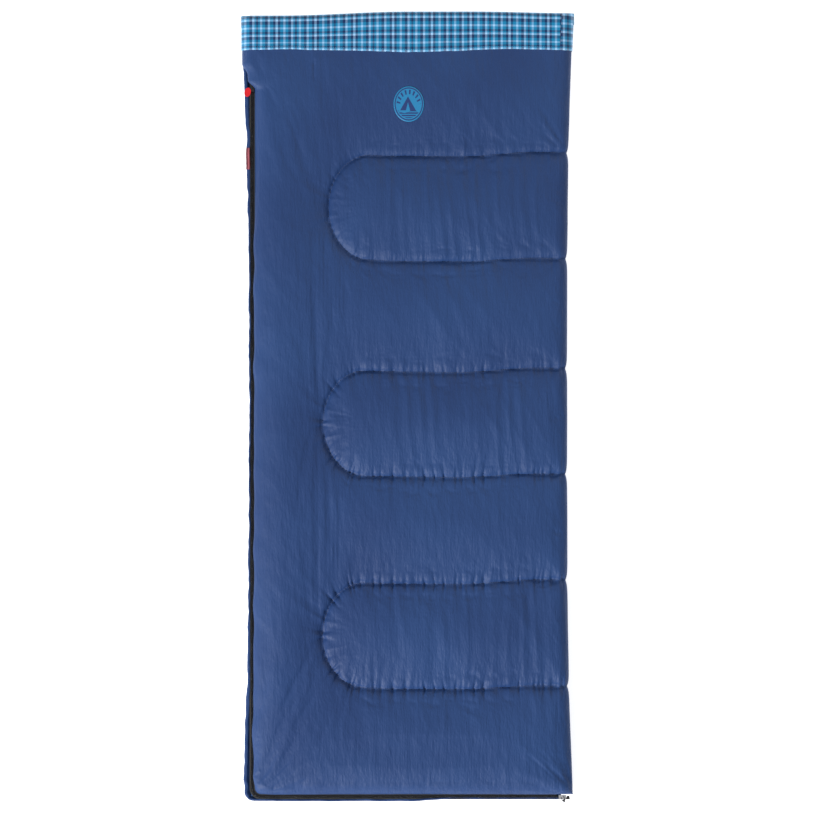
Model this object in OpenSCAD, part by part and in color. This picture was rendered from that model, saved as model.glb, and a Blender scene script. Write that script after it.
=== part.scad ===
// Rectangular sleeping bag, lying zipped up on the ground, head end at +Y.
// Two quilted panels joined by a fold on the right, with a zip along the left side and the foot.
// Millimetres. +X to the right, +Y to the head, +Z up. The underside rests on Z = 0.

/* [Bag] */
// Half the length of the bag, from the middle to the head edge
half_length = 949; // [850:1:1050]
// Distance from the middle to the fold at its narrowest place
fold_waist = 384; // [340:1:430]
// How much farther out the fold lies at the head and foot
fold_flare = 15; // [0:1:25]
// Distance from the middle to the left edge at its narrowest place
side_waist = 384; // [383:1:390]
// How much farther out the left edge lies at the head
side_flare = 16; // [0:1:22]
// Total height of the bag
bag_height = 58; // [50:1:80]
// Height of the empty space between the two linings
space_height = 9.6; // [8:0.1:20]

/* [Head band] */
// Length of the plaid band at the head
band_length = 87; // [60:1:120]
// Thickness of the band cloth
band_cloth = 0.8; // [0.6:0.1:1.2]

/* [Quilting] */
// Distance between the middles of two quilted loops
loop_pitch = 515; // [400:1:560]
// Half the distance between the two long seams of one loop
loop_half = 125; // [90:1:150]
// Position of the middle of the loop nearest the head
loop_first = 472; // [440:1:500]
// Distance from the middle line to the round end of a loop
loop_reach = 202; // [150:1:260]
// Length of the round end of a loop
loop_round = 100; // [60:1:125]
// Width of a drawn row of stitches
stitch_width = 1.2; // [0.8:0.1:2]

/* [Zip] */
// Distance from the middle line to the middle of the side zip
zip_side = 374; // [370:1:376]
// Distance from the middle line to the middle of the foot zip
zip_foot = 937; // [930:1:940]
// Radius of the corner that the zip runs round
zip_corner = 22; // [18:1:40]
// Half of the gap between the two rows of teeth
teeth_gap = 0.7; // [0.6:0.1:0.9]
// Position of the upper slider along the side zip
head_stop = 768; // [700:1:790]
// Position of the lower slider along the foot zip
foot_stop = 372.5; // [340:0.5:374]

/* [Hidden] */

$fn = 48;
// Half of the bag's height, where the zip and the hinge of the fold lie.
mid = bag_height / 2;
// Thickness of one quilted panel.
panel = (bag_height - space_height) / 2;
// Thickness of the shell cloth and of the lining, drawn thicker than the real cloth.
cloth = 1.2;
lining = 1;
// Radius of the fold, and clearance between the fold and the two panels.
fold_r = mid;
fold_gap = 0.4;
// Where the lining turns back inside the fold, just short of the hinge line.
lining_tip = fold_waist - 6;
// Foot edges of the lower panel, of the upper panel and of the fold.
lower_foot = -zip_foot - 10;
upper_foot = -zip_foot + 7;
fold_foot = upper_foot + 2;
// The zip tape lies level, with the teeth on its upper face.
tape_z = mid - 0.5;
tape = 0.6;
teeth_z = tape_z + tape;
teeth = 2.2;
// Past the end of the zip, the upper panel widens over this place and the next 60 mm.
flare_foot = head_stop + 14;
// The slider is a pair of plates round the teeth.
slider_half = 5.2;
slider_length = 18;
pivot_z = teeth_z + 5.1;
// Directions in which the two pulls lie, in plan.
head_pull_turn = -35;
foot_pull_turn = 23;

// How far a place along the bag has flared out, from 0 at the waist to 1 at either end.
function flare(y) = pow(min(1, abs(y) / 950), 3.5);
// The outer line of the fold, and the edge of the panels beside it.
function fold_x(y) = fold_waist + fold_flare * flare(y);
function seam_x(y) = fold_x(y) - fold_r;
// Rounding of the foot corner, added to the left edge.
function corner(y, foot, r) = y - foot < r ? r - sqrt(max(0, r * r - pow(r - (y - foot), 2))) : 0;
// The left edge of the lower panel and of the upper panel.
function low_left(y) =
  -side_waist - (y > 0 ? side_flare : side_flare - 5) * flare(y) + corner(y, lower_foot, 26);
function ease(t) = t <= 0 ? 0 : t >= 1 ? 1 : t * t * (3 - 2 * t);
function up_left(y) =
  -zip_side + 7 - 31 * ease((y - flare_foot) / 60) + corner(y, upper_foot, 16);

// Places along the bag where an edge has a point, closer together at the foot corner and
// where the zip ends. The first is the foot itself, and those that an inset would pass are left out.
function places(foot, head, inset = 0) = concat(
  [foot],
  [for (s = [1, 3, 7, 12, 18, 26]) if (s > inset + 0.5) foot + s],
  [for (i = [1 : 20]) foot + 26 + i * (flare_foot - foot - 26) / 20],
  [for (i = [1 : 6]) flare_foot + i * 10],
  [for (i = [1 : 2]) flare_foot + 60 + i * (head - flare_foot - 60) / 2]
);

// Plan of the lower panel, drawn back by an inset from the left, the foot and the head.
module lower_plan(inset, foot = lower_foot, head = half_length, right = true) {
  ys = places(foot, head, inset);
  n = len(ys) - 1;
  far = right ? 0 : 40;
  left_side = [for (y = ys) [low_left(y) + inset, y + (y == foot ? inset : 0)]];
  right_side = [for (i = [n : -1 : 0]) [seam_x(ys[i]) + far, ys[i] + (i == 0 ? inset : 0)]];
  polygon(concat(left_side, right_side));
}

// Plan of the upper panel.
module upper_plan(inset, foot = upper_foot, head = half_length, right = true) {
  ys = places(foot, head, inset);
  n = len(ys) - 1;
  far = right ? 0 : 40;
  left_side = [for (y = ys) [up_left(y) + inset, y + (y == foot ? inset : 0)]];
  right_side = [for (i = [n : -1 : 0]) [seam_x(ys[i]) + far, ys[i] + (i == 0 ? inset : 0)]];
  polygon(concat(left_side, right_side));
}

// A flat layer of either plan.
module slab(z, height) {
  translate([0, 0, z]) linear_extrude(height) children();
}

// A strip that follows the zip at a distance from the middle of its teeth.
// It runs down the side, round the corner and along the foot. Distances grow outwards.
module zip_strip(near, far, top, right) {
  cx = -zip_side + zip_corner;
  cy = -zip_foot + zip_corner;
  translate([-zip_side - far, cy]) square([far - near, top - cy]);
  translate([cx, -zip_foot - far]) square([right - cx, far - near]);
  intersection() {
    translate([cx, cy]) difference() {
      circle(r = zip_corner + far);
      circle(r = zip_corner + near);
    }
    translate([cx - zip_corner - far, cy - zip_corner - far]) square(zip_corner + far);
  }
}

// Closed skin through rings of points, one ring at each place along the bag.
module skin(rings) {
  m = len(rings[0]);
  n = len(rings);
  // Each four-sided patch is cut into two triangles, because it may be slightly twisted.
  half_a = [for (i = [0 : n - 2], k = [0 : m - 1])
    [i * m + k, i * m + (k + 1) % m, (i + 1) * m + (k + 1) % m]];
  half_b = [for (i = [0 : n - 2], k = [0 : m - 1])
    [i * m + k, (i + 1) * m + (k + 1) % m, (i + 1) * m + k]];
  // The ends run across the layer, from its outer line to its inner line.
  e = (n - 1) * m;
  first = [for (k = [0 : m / 2 - 2]) [m - 1 - k, m - 2 - k, k + 1, k]];
  last = [for (k = [0 : m / 2 - 2]) [e + k, e + k + 1, e + m - 2 - k, e + m - 1 - k]];
  sides = concat(half_a, half_b);
  polyhedron(points = [for (r = rings, p = r) p], faces = concat(sides, first, last), convexity = 6);
}

// Half ring round the fold, from the lower panel up and over to the upper one.
function fold_arc(y, across, height, up = 1) = [for (i = [0 : 14])
  let (a = up * (-90 + i * 180 / 14))
  [seam_x(y) + fold_gap + across * cos(a), y, mid + height * sin(a)]];
// A layer of the fold between an outer and an inner half ring.
function fold_ring(y, r_out, r_in) =
  concat(fold_arc(y, r_out, r_out), fold_arc(y, r_in, r_in, -1));
function tip_reach(y, extra) = lining_tip - seam_x(y) + extra;
function fold_places(foot, head) = [for (i = [0 : 18]) foot + i * (head - foot) / 18];

// A row of stitches along one quilted loop, open at the fold.
function loop_line(c, grow) = concat(
  [[seam_x(c) - 3, c + loop_half + grow]],
  [for (i = [0 : 30]) let (a = 90 + i * 6)
    [-loop_reach + loop_round + (loop_round + grow) * cos(a), c + (loop_half + grow) * sin(a)]],
  [[seam_x(c) - 3, c - loop_half - grow]]
);
module loop_stitches(c) {
  outer = loop_line(c, stitch_width / 2);
  inner = loop_line(c, -stitch_width / 2);
  n = len(inner) - 1;
  polygon(concat(outer, [for (i = [n : -1 : 0]) inner[i]]));
}

// Plan of the lower panel's left and foot wall between two places along the bag.
module lower_wall(from, to) {
  intersection() {
    difference() {
      lower_plan(0);
      lower_plan(3.5, head = half_length + 1, right = false);
    }
    translate([-500, from]) square([1000, to - from]);
  }
}

// Plan of the strip of the lower panel that runs on past the end of the fold.
module foot_end(depth) {
  translate([seam_x(fold_foot) - 1, lower_foot])
    square([fold_x(fold_foot) - seam_x(fold_foot) - 3, depth]);
}

// Lower panel: the shell is a tray with a wall along the left side and the foot.
module lower_shell() {
  color("steelblue") {
    slab(0, cloth) lower_plan(0, head = half_length - band_length - 0.2);
    slab(cloth, panel - cloth) lower_wall(lower_foot, half_length - band_length - 0.2);
    slab(cloth, panel - cloth) foot_end(4);
    slab(0, cloth) foot_end(fold_foot - lower_foot - 1);
  }
}

// Two narrow strips of shell cloth that stand on the lower panel's edge and hold the zip tape.
module lower_side_facing() {
  color("steelblue") slab(panel, tape_z - panel) lower_wall(lower_foot + 26, head_stop + 60);
}

module lower_foot_facing() {
  color("steelblue") {
    slab(panel, tape_z - panel) lower_wall(lower_foot, lower_foot + 26);
    slab(panel, tape_z - panel) foot_end(4);
  }
}

// Loose polyester wadding between the shell and the lining.
module lower_fill() {
  color("ivory") slab(cloth + 0.1, panel - cloth - lining - 0.3)
    lower_plan(4, head = half_length - 1.5);
}

module lower_liner() {
  color("lightskyblue") slab(panel - lining, lining) lower_plan(4, head = half_length - 1.5);
}

// The band wraps the head edge of the panel.
module lower_cuff() {
  color("skyblue") {
    slab(0, cloth) intersection() {
      lower_plan(0);
      translate([-500, half_length - band_length]) square([1000, band_length]);
    }
    slab(cloth, panel - cloth) intersection() {
      lower_plan(0);
      translate([-500, half_length - 1.2]) square([1000, 1.2]);
    }
    slab(cloth, panel - cloth) lower_wall(half_length - band_length, half_length);
  }
}

module lower_zip_tape() {
  color("black") slab(tape_z, tape) zip_strip(teeth_gap, 9, head_stop + 16, foot_stop + 18);
}

module lower_zip_coil() {
  color("dimgray") slab(teeth_z, teeth) zip_strip(teeth_gap, 2.9, head_stop + 12, foot_stop + 10);
}

// A small clip on the tape that the upper slider runs up against.
module lower_top_stop() {
  color("silver") translate([-zip_side - 2.9, head_stop + 12.2, teeth_z]) cube([2.2, 3, teeth]);
}

// The box at the foot end of the zip, which the free tape's pin goes into.
module retainer_box() {
  color("black") translate([foot_stop + 10.2, -zip_foot - 3.2, teeth_z]) difference() {
    cube([7, 6.4, 2.6]);
    translate([-1, 3.9, 0.7]) cube([7, 1.8, 1.2]);
  }
}

// Woven label caught in the seam beside the side zip.
module side_label() {
  color("crimson") translate([-zip_side - 15.5, 572, teeth_z]) cube([9.8, 53, 0.6]);
}

module lower_quilt_stitches() {
  color("navy") for (i = [0 : 2]) slab(panel, 0.5) loop_stitches(loop_first - i * loop_pitch);
}

// The fold: the same three layers carried round from the lower panel to the upper one.
module fold_shell() {
  color("steelblue") skin([for (y = fold_places(fold_foot, half_length - band_length - 0.2))
    fold_ring(y, fold_r, fold_r - cloth)]);
}

module fold_fill() {
  color("ivory") skin([for (y = fold_places(fold_foot + 1, half_length - 1))
    concat(fold_arc(y, fold_r - cloth - 0.6, fold_r - cloth - 0.6),
      fold_arc(y, tip_reach(y, 0.3), space_height / 2 + lining + 0.1, -1))]);
}

module fold_liner() {
  color("lightskyblue") skin([for (y = fold_places(fold_foot + 1, half_length - 1))
    concat(fold_arc(y, tip_reach(y, 0), space_height / 2 + lining),
      fold_arc(y, tip_reach(y, -lining), space_height / 2, -1))]);
}

module fold_cuff() {
  color("skyblue") skin([for (i = [0 : 6]) let (y = half_length - band_length + i * band_length / 6)
    fold_ring(y, fold_r, fold_r - cloth)]);
}

// Plan of the upper panel's left and foot wall between two places along the bag.
module upper_wall(from, to) {
  intersection() {
    difference() {
      upper_plan(0);
      upper_plan(2, head = half_length + 1, right = false);
    }
    translate([-500, from]) square([1000, to - from]);
  }
}

// Upper panel: the same tray upside down.
module upper_shell() {
  color("steelblue") {
    slab(bag_height - cloth, cloth) upper_plan(0);
    slab(bag_height - panel, panel - cloth) upper_wall(upper_foot, half_length);
  }
}

// Two narrow strips of shell cloth under the upper panel's edge, down to the zip tape.
module upper_side_facing() {
  color("steelblue") slab(teeth_z, bag_height - panel - teeth_z)
    upper_wall(upper_foot + 16, head_stop + 60);
}

module upper_foot_facing() {
  color("steelblue") slab(teeth_z, bag_height - panel - teeth_z)
    upper_wall(upper_foot, upper_foot + 16);
}

module upper_fill() {
  color("ivory") slab(bag_height - panel + lining + 0.2, panel - cloth - lining - 0.3)
    upper_plan(2.5, head = half_length - 0.5);
}

module upper_liner() {
  color("lightskyblue") slab(bag_height - panel, lining) upper_plan(2.5, head = half_length - 0.5);
}

module upper_cuff() {
  color("skyblue") {
    slab(bag_height, band_cloth) intersection() {
      translate([0, 1]) upper_plan(0);
      translate([-500, half_length - band_length]) square([1000, band_length + 1]);
    }
    slab(bag_height - panel, panel + band_cloth) intersection() {
      translate([0, 1]) upper_plan(0);
      translate([-500, half_length + 0.1]) square([1000, 0.9]);
    }
  }
}

module upper_zip_tape() {
  color("black") slab(tape_z, tape)
    zip_strip(-8.5, -teeth_gap, head_stop - slider_length / 2 - 0.6, foot_stop - slider_length / 2 - 0.6);
}

module upper_zip_coil() {
  color("dimgray") slab(teeth_z, teeth)
    zip_strip(-2.9, -teeth_gap, head_stop - slider_length / 2 - 0.6, foot_stop - slider_length / 2 - 13);
}

// The pin at the end of the upper tape.
module insertion_pin() {
  color("silver") translate([foot_stop - slider_length / 2 - 12.8, -zip_foot + teeth_gap, teeth_z])
    cube([12, 1.8, 1.6]);
}

module upper_quilt_stitches() {
  color("navy") for (i = [0 : 2]) slab(bag_height, 0.5) loop_stitches(loop_first - i * loop_pitch);
}

// The row of stitches that holds the lower edge of the band.
module cuff_stitches() {
  y = half_length - band_length + 4;
  color("white") slab(bag_height + band_cloth, 0.3)
    translate([up_left(y) + 3, y]) square([seam_x(y) - up_left(y) - 6, 1]);
}

// A round plain motif printed on the shell.
module badge_print() {
  color("deepskyblue") slab(bag_height, 0.2)
    polygon([for (a = [0 : 7.5 : 352.5]) [3 + 36.5 * cos(a), 727 + 42.5 * sin(a)]]);
}

// Slider running along Y over both rows of teeth, drawn round the origin.
module slider() {
  // Upper plate with two short flanges.
  translate([-slider_half, -slider_length / 2, teeth_z + teeth + 0.4]) cube([2 * slider_half, slider_length, 1.5]);
  for (s = [-slider_half, slider_half - 1])
    translate([s, -slider_length / 2 + 1, teeth_z + 0.4]) cube([1, slider_length - 2, teeth]);
  // Lower plate.
  translate([-slider_half, -slider_length / 2, tape_z - 1.9]) cube([2 * slider_half, slider_length, 1.5]);
  // Divider that parts the two rows and holds the plates together.
  translate([-0.3, slider_length / 2 - 5, tape_z - 0.5]) cube([0.6, 5, teeth_z + teeth + 0.5 - tape_z + 0.5]);
}

// Bridge over the slider that the pull hooks into, with its eye open along X.
module bridge() {
  top = teeth_z + teeth + 1.9;
  translate([-1.2, -3, top]) difference() {
    cube([2.4, 6, 3.2]);
    translate([-1, 1.2, 0]) cube([4.4, 3.6, 2]);
  }
}

module head_slider_body() {
  color("#3a3b40") translate([-zip_side, head_stop, 0]) slider();
}

module head_slider_bridge() {
  color("#3a3b40") translate([-zip_side, head_stop, 0]) bridge();
}

// Wire loop through the eye of a bridge, drawn with the pull lying along -Y.
// Its round bar is the pull's axis.
module pull_loop() {
  translate([-4, 0, 0]) rotate([0, 90, 0]) cylinder(h = 8, r = 0.55);
  for (s = [-4, 3]) translate([s, -6, -0.5]) cube([1, 6, 1]);
}

module head_pull_loop() {
  color("#3a3b40") translate([-zip_side, head_stop, pivot_z]) rotate([0, 0, head_pull_turn]) pull_loop();
}

// Moulded grip on the loop.
module head_pull_grip() {
  color("red") translate([-zip_side, head_stop, pivot_z]) rotate([0, 0, head_pull_turn])
    translate([0, 0, -0.9]) linear_extrude(2.3) difference() {
      polygon([for (a = [0 : 7.5 : 352.5]) [7.8 * cos(a), -15.8 + 11.2 * sin(a)]]);
      translate([-4.05, -6.05]) square([8.1, 4]);
    }
}

module foot_slider_body() {
  color("silver") translate([foot_stop, -zip_foot, 0]) rotate([0, 0, -90]) slider();
}

module foot_slider_bridge() {
  color("silver") translate([foot_stop, -zip_foot, 0]) bridge();
}

// Flat link between the foot slider and its ring, with a barrel for the ring at its end.
module foot_pull_link() {
  color("#222326") translate([foot_stop, -zip_foot, pivot_z]) rotate([0, 0, foot_pull_turn]) {
    pull_loop();
    translate([-4, -9.9, -0.5]) cube([8, 4, 1]);
    translate([-1.4, -11.4, 0]) rotate([0, 90, 0]) difference() {
      cylinder(h = 2.8, r = 2.1);
      translate([0, 0, -1]) cylinder(h = 5, r = 1.35);
    }
  }
}

// Round wire ring that turns in the barrel.
module foot_pull_ring() {
  color("silver") translate([foot_stop, -zip_foot, pivot_z]) rotate([0, 0, foot_pull_turn])
    translate([0, -16.1, 0]) rotate_extrude() translate([4.7, 0]) circle(r = 0.75, $fn = 24);
}

lower_shell();
lower_fill();
lower_liner();
lower_cuff();
lower_side_facing();
lower_foot_facing();
lower_zip_tape();
lower_zip_coil();
lower_top_stop();
retainer_box();
side_label();
lower_quilt_stitches();
fold_shell();
fold_fill();
fold_liner();
fold_cuff();
upper_shell();
upper_fill();
upper_liner();
upper_cuff();
upper_side_facing();
upper_foot_facing();
upper_zip_tape();
upper_zip_coil();
insertion_pin();
upper_quilt_stitches();
cuff_stitches();
badge_print();
head_slider_body();
head_slider_bridge();
head_pull_loop();
head_pull_grip();
foot_slider_body();
foot_slider_bridge();
foot_pull_link();
foot_pull_ring();
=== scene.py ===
# %% [markdown]
# # A rectangular sleeping bag
# The bag lies zipped up on the ground, seen from above, with its head at +Y. It is two quilted
# panels joined by a fold on the right, and a zip closes the left side and the foot. Cloth is what
# this lesson is about: a satin shell that gathers along its quilting, a plaid band, and a zip.

# %% Load the frame
import math

import bpy
import numpy as np
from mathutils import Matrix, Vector, noise
from mathutils.bvhtree import BVHTree


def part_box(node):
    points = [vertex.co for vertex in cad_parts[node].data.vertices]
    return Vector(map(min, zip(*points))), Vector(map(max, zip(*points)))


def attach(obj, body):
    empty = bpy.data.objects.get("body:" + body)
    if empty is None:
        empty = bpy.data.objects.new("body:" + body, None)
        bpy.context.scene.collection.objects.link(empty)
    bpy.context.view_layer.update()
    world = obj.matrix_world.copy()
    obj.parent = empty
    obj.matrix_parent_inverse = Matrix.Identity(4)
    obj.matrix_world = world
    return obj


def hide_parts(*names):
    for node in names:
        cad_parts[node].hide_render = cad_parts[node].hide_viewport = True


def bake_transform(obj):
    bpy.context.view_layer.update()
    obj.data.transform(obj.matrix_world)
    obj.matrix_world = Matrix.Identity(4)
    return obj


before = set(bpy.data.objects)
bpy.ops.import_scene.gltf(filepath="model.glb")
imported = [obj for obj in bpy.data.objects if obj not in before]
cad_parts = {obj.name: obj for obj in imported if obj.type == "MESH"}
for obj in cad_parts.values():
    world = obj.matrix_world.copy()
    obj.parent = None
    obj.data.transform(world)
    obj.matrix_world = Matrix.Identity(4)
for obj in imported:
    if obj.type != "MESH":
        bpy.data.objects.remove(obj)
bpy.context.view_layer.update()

# %% [markdown]
# Everything is selected after loading, so one helper clears the selection before each new piece.
# Others read and write a mesh's points as one array, because a cloth has tens of thousands.


# %% Helpers for selecting and for points
def clear_selection():
    """Leave edit mode and select nothing."""
    if bpy.context.object and bpy.context.object.mode != "OBJECT":
        bpy.ops.object.mode_set(mode="OBJECT")
    bpy.ops.object.select_all(action="DESELECT")


def only(piece):
    """Select one piece and make it active."""
    clear_selection()
    piece.select_set(True)
    bpy.context.view_layer.objects.active = piece
    return piece


def points(piece):
    """The piece's points as rows of x, y, z."""
    flat = np.empty(len(piece.data.vertices) * 3)
    piece.data.vertices.foreach_get("co", flat)
    return flat.reshape(-1, 3)


def set_points(piece, rows):
    """Put the piece's points at these rows of x, y, z."""
    piece.data.vertices.foreach_set("co", np.asarray(rows, dtype=float).ravel())
    piece.data.update()


def apply_modifiers(piece):
    """Apply every modifier, in order."""
    only(piece)
    for modifier in list(piece.modifiers):
        bpy.ops.object.modifier_apply(modifier=modifier.name)
    return piece


def place_in_mesh(piece):
    """Move the object's place, turn and size into its mesh."""
    only(piece)
    bpy.ops.object.transform_apply(location=True, rotation=True, scale=True)
    return piece


def name_it(piece, name):
    piece.name = piece.data.name = name
    return piece


# %% [markdown]
# A sheet of cloth is a grid. This helper turns rows and columns of places into a mesh, with a
# texture map in metres where a woven pattern has to follow the cloth.


# %% A mesh from a grid of places
def numbered(grid):
    """The number of each point of a grid, in rows and columns, and the four points of each face."""
    rows, cols = grid.shape[:2]
    index = np.arange(rows * cols).reshape(rows, cols)
    quads = np.stack([index[:-1, :-1], index[:-1, 1:], index[1:, 1:], index[1:, :-1]], -1)
    return index, quads.reshape(-1, 4).tolist()


def new_piece(name, places, faces, flat=None):
    """A piece from points and faces. flat holds each point's place on the cut cloth."""
    mesh = bpy.data.meshes.new(name)
    mesh.from_pydata(places.tolist(), [], faces)
    if flat is not None:
        add_map(mesh, flat.reshape(-1, 2))
    mesh.update()
    piece = bpy.data.objects.new(name, mesh)
    bpy.context.scene.collection.objects.link(piece)
    return only(piece)


def cloth_grid(name, grid, flat=None):
    """A smooth sheet through rows and columns of places."""
    piece = new_piece(name, grid.reshape(-1, 3), numbered(grid)[1], flat)
    bpy.ops.object.shade_smooth()
    return piece


def add_map(mesh, flat):
    """Give each corner of each face the place of its point on the cut cloth."""
    corners = np.empty(len(mesh.loops), dtype=np.int32)
    mesh.loops.foreach_get("vertex_index", corners)
    layer = mesh.uv_layers.new(name="cut")
    layer.data.foreach_set("uv", np.asarray(flat, dtype=float)[corners].ravel())


def face_outwards(piece):
    """Turn every face to look out of the closed piece."""
    only(piece)
    bpy.ops.object.mode_set(mode="EDIT")
    bpy.ops.mesh.select_all(action="SELECT")
    bpy.ops.mesh.normals_make_consistent(inside=False)
    bpy.ops.object.mode_set(mode="OBJECT")
    return piece


def thicken(piece, thickness):
    """Give a sheet its thickness, half to each side."""
    solid = piece.modifiers.new("cloth", "SOLIDIFY")
    solid.thickness, solid.offset = thickness, 0
    apply_modifiers(piece)
    return face_outwards(piece)


def wavy(x, y, seed, fx, fy):
    """Smooth noise from -1 to 1 at each place, with fx and fy swings to the metre."""
    flat_x, flat_y = np.ravel(x) * fx, np.ravel(y) * fy
    values = [noise.noise(Vector((a, b, seed))) for a, b in zip(flat_x, flat_y)]
    return np.array(values).reshape(np.shape(x))


# %% [markdown]
# The outline is the CAD model's, written here again in metres: the sides bow in a little between
# the head and the foot, and the zip's corner is rounded.

# %% Measures of the bag
HEAD, FOOT, UPPER_FOOT = 0.949, -0.947, -0.930
MID, TOP = 0.029, 0.058
ZIP_X, ZIP_Y, ZIP_CORNER = -0.374, -0.937, 0.022
HEAD_STOP, FOOT_STOP = 0.768, 0.3725
BAND = 0.087
TAPE_Z, TEETH_Z = 0.0285, 0.0291


def flare(y):
    return np.minimum(1.0, np.abs(y) / 0.950) ** 3.5


def fold_x(y):
    return 0.384 + 0.015 * flare(y)


def seam_x(y):
    return fold_x(y) - MID


def ease(t):
    t = np.clip(t, 0.0, 1.0)
    return t * t * (3 - 2 * t)


def corner(y, foot, radius):
    inside = np.clip(radius - (y - foot), 0.0, radius)
    return radius - np.sqrt(radius**2 - inside**2)


def low_left(y):
    return -0.3805 - np.where(y > 0, 0.0185, 0.0145) * (np.abs(y) / 0.95) ** 2.2 + corner(y, FOOT, 0.026)


def up_left(y):
    return -0.367 - 0.031 * ease((y - 0.781) / 0.052) + corner(y, UPPER_FOOT, 0.016)


def lie(grid):
    """The soft head end lies a little uneven: its corners rest lower than its middle."""
    out = grid.copy()
    x, y = out[..., 0], out[..., 1]
    drop = 0.010 * ease(-x / 0.30) + 0.004 * ease((x - 0.15) / 0.25) - 0.001
    out[..., 1] = y - drop * np.clip((y - 0.5) / 0.449, 0, 1) ** 2
    return out


# %% [markdown]
# Three loops of quilting run in from the fold and back. Each seam line is a place where the quilt
# is thin, so a distance to the nearest seam shapes the whole surface.

# %% Where the quilting runs
LOOPS = [(0.480, 0.190), (-0.038, 0.203), (-0.547, 0.204)]
LOOP_HALF, LOOP_END = 0.126, 0.100
TURN_RADIUS, TURN_LENGTH = 0.113, 0.355


def seam_sag(x, upper):
    """The long seams droop in the middle and rise towards the fold. None is quite straight."""
    rise = np.where(upper, 0.0065, 0.0040) * ease((x - 0.10) / 0.24)
    droop = 0.0045 * np.exp(-(((x - 0.08) / 0.12) ** 2))
    return rise - droop + 0.001 * np.sin(x * 27) * ease((x + 0.10) / 0.1)


def nearest_seam(x, y):
    """Distance to the nearest quilting line, and the place along it."""
    best = np.full(np.shape(x), 9.0)
    place = np.array(x, dtype=float)
    for middle, reach in LOOPS:
        turn_x = -reach + LOOP_END
        dy = y - middle
        straight = np.abs(np.abs(dy) - LOOP_HALF - np.sign(dy) * seam_sag(x, dy > 0))
        dx = np.minimum(x - turn_x, 0.0)
        f = (dx / LOOP_END) ** 2 + (dy / LOOP_HALF) ** 2 - 1
        slope = 2 * np.sqrt((dx / LOOP_END**2) ** 2 + (dy / LOOP_HALF**2) ** 2) + 1e-6
        straight_part = x > turn_x
        d = np.where(straight_part, straight, np.abs(f) / slope)
        angle = np.arctan2(np.abs(dy) / LOOP_HALF, -dx / LOOP_END + 1e-9)
        s = np.where(straight_part, x, turn_x - (math.pi / 2 - angle) * TURN_RADIUS)
        place = np.where(d < best, s, place)
        best = np.minimum(best, d)
    return best, place


def seam_path(index, step):
    """Places along one quilting line, from the fold round the loop and back to the fold."""
    middle, reach = LOOPS[index]
    turn_x = -reach + LOOP_END
    right = float(seam_x(middle)) - 0.001
    xs = np.linspace(right, turn_x, int((right - turn_x) / step))
    upper = [(x, middle + LOOP_HALF + float(seam_sag(x, True))) for x in xs]
    lower = [(x, middle - LOOP_HALF + float(seam_sag(x, False))) for x in xs[::-1]]
    angles = np.linspace(90, 270, int(TURN_LENGTH / step))[1:-1]
    turn = [(turn_x + LOOP_END * math.cos(math.radians(a)),
             middle + LOOP_HALF * math.sin(math.radians(a))) for a in angles]
    return upper + turn + lower


# %% [markdown]
# The shell is cut wider than the space it is sewn into, so it gathers: small pleats run straight
# out from each seam and fade towards the middle of the quilt. Blender's Cloth makes them as real
# cloth does. The sheet starts at its sewn size, a shape key holds the larger cut size as the
# springs' rest length, the seams and edges are pinned, and a little pressure stands for the wadding.

# %% The sheet of shell cloth
COLS, ROWS = 159, 376
LEFT_COLS, FOLD_COLS, FOOT_ROWS, NOSE_ROWS = 9, 9, 8, 4
LEFT_ROUND, FOOT_ROUND, NOSE_ROUND = 0.030, 0.026, 0.012


def across(i, y):
    """Place x and fullness (0 at an edge, 1 on the flat) of column i of the sheet."""
    left, right = up_left(y), seam_x(y)
    turn_l = np.clip(i / LEFT_COLS, 0, 1) * math.pi / 2
    turn_r = np.clip((i - COLS + FOLD_COLS) / FOLD_COLS, 0, 1) * math.pi / 2
    flat = np.clip((i - LEFT_COLS) / (COLS - LEFT_COLS - FOLD_COLS), 0, 1)
    x = left + LEFT_ROUND * (1 - np.cos(turn_l)) + flat * (right - left - LEFT_ROUND) + MID * np.sin(turn_r)
    full = np.sin(turn_l) * np.cos(turn_r)
    return x, full


def along(j):
    """Place y and fullness of row j of the sheet, from the foot to the head."""
    turn_f = np.clip(j / FOOT_ROWS, 0, 1) * math.pi / 2
    turn_h = np.clip((j - ROWS + NOSE_ROWS) / NOSE_ROWS, 0, 1) * math.pi / 2
    flat = np.clip((j - FOOT_ROWS) / (ROWS - FOOT_ROWS - NOSE_ROWS), 0, 1)
    length = HEAD - NOSE_ROUND - UPPER_FOOT - FOOT_ROUND
    y = UPPER_FOOT + FOOT_ROUND * (1 - np.cos(turn_f)) + flat * length + NOSE_ROUND * np.sin(turn_h)
    full = np.sin(turn_f) * (0.15 + 0.85 * np.cos(turn_h))
    return y, full


def groove(d):
    """How far a seam pulls the quilt in at a distance d from it."""
    return 0.0030 * np.exp(-d / 0.004) + 0.0080 * np.exp(-d / 0.011) + 0.0040 * np.exp(-d / 0.045)


column, row = np.meshgrid(np.arange(COLS + 1), np.arange(ROWS + 1))
sheet_y, full_y = along(row)
sheet_x, full_x = across(column, sheet_y)
fullness = full_x * full_y
seam_d, _ = nearest_seam(sheet_x, sheet_y)
under_band = ease((sheet_y - HEAD + BAND - 0.005) / 0.02)
start_z = MID + 0.0005 + (TOP - MID - 0.0025) * fullness - groove(seam_d) * fullness
ripple = wavy(sheet_x, sheet_y, 1.3, 42, 5) * (0.4 + 0.6 * np.exp(-seam_d / 0.05))
ripple += 0.6 * wavy(sheet_x, sheet_y, 7.1, 15, 7)
start = np.stack([sheet_x, sheet_y, start_z + 0.0022 * ripple * fullness * (1 - under_band)], -1)
print("sheet", start.shape, "nearest seam", round(float(seam_d.min()), 4))


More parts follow.
